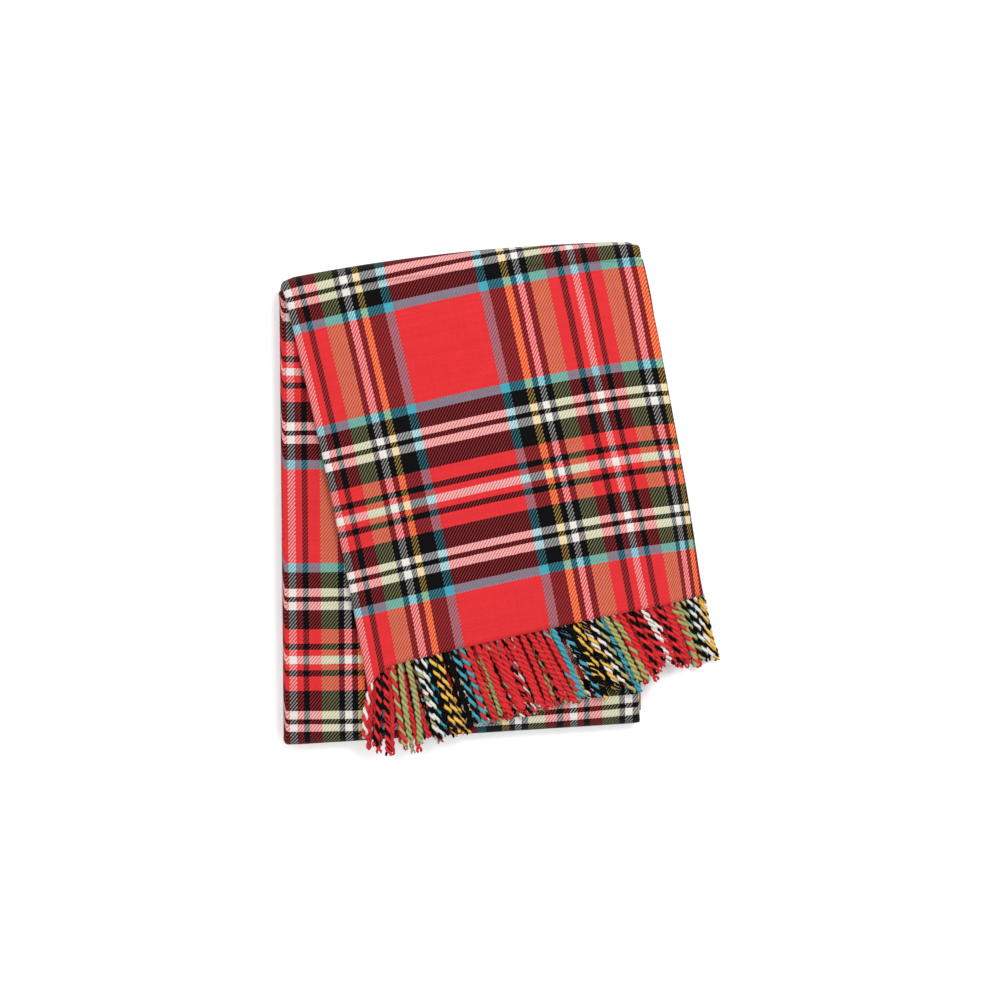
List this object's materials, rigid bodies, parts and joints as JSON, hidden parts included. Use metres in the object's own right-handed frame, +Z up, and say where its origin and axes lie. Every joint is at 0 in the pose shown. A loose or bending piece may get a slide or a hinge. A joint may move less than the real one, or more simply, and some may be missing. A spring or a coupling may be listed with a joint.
{
  "type": "folded throw blanket",
  "caption": "Tartan wool throw blanket, folded into a flat rectangle with its fringed end turned over on top as a flap that lifts.",
  "frame": {"origin": "middle of the flat underside that the folded blanket rests on", "axes": "+Z up out of the resting face; +Y towards the top fold, where the flap turns over; +X across the folded width, towards the side where the flap overhangs"},
  "size_m": [0.426, 0.4935, 0.0364],
  "materials": {
    "cloth": "soft brushed 2/2 twill in a red tartan check",
    "fringe": "two-ply twisted wool cords in the warp's colours"
  },
  "bodies": {
    "bundle": {"bundle": "cloth", "top_fold": "cloth", "fringe_tucked_rows": "fringe"},
    "flap": {"flap": "cloth", "fringe_lower_rows": "fringe", "fringe_cord_01": "fringe", "fringe_cord_02": "fringe", "fringe_cord_03": "fringe", "fringe_cord_04": "fringe", "fringe_cord_05": "fringe", "fringe_cord_06": "fringe", "fringe_cord_07": "fringe", "fringe_cord_08": "fringe", "fringe_cord_09": "fringe", "fringe_cord_10": "fringe", "fringe_cord_11": "fringe", "fringe_cord_12": "fringe", "fringe_cord_13": "fringe", "fringe_cord_14": "fringe", "fringe_cord_15": "fringe", "fringe_cord_16": "fringe", "fringe_cord_17": "fringe", "fringe_cord_18": "fringe", "fringe_cord_19": "fringe", "fringe_cord_20": "fringe", "fringe_cord_21": "fringe", "fringe_cord_22": "fringe", "fringe_cord_23": "fringe", "fringe_cord_24": "fringe", "fringe_cord_25": "fringe", "fringe_cord_26": "fringe", "fringe_cord_27": "fringe", "fringe_cord_28": "fringe", "fringe_cord_29": "fringe", "fringe_cord_30": "fringe", "fringe_cord_31": "fringe", "fringe_cord_32": "fringe", "fringe_cord_33": "fringe", "fringe_cord_34": "fringe", "fringe_cord_35": "fringe", "fringe_cord_36": "fringe", "fringe_cord_37": "fringe", "fringe_cord_38": "fringe", "fringe_cord_39": "fringe", "fringe_cord_40": "fringe", "fringe_cord_41": "fringe", "fringe_cord_42": "fringe", "fringe_cord_43": "fringe", "fringe_cord_44": "fringe", "fringe_cord_45": "fringe", "fringe_cord_46": "fringe"}
  },
  "joints": [
    {"name": "flap_fold", "type": "hinge", "parent": "bundle", "child": "flap", "pos_m": [0, 0.235, 0.0182], "axis": [-0.9946, -0.1039, 0], "range_deg": [0, 175], "deforming": ["top_fold"]}
  ]
}
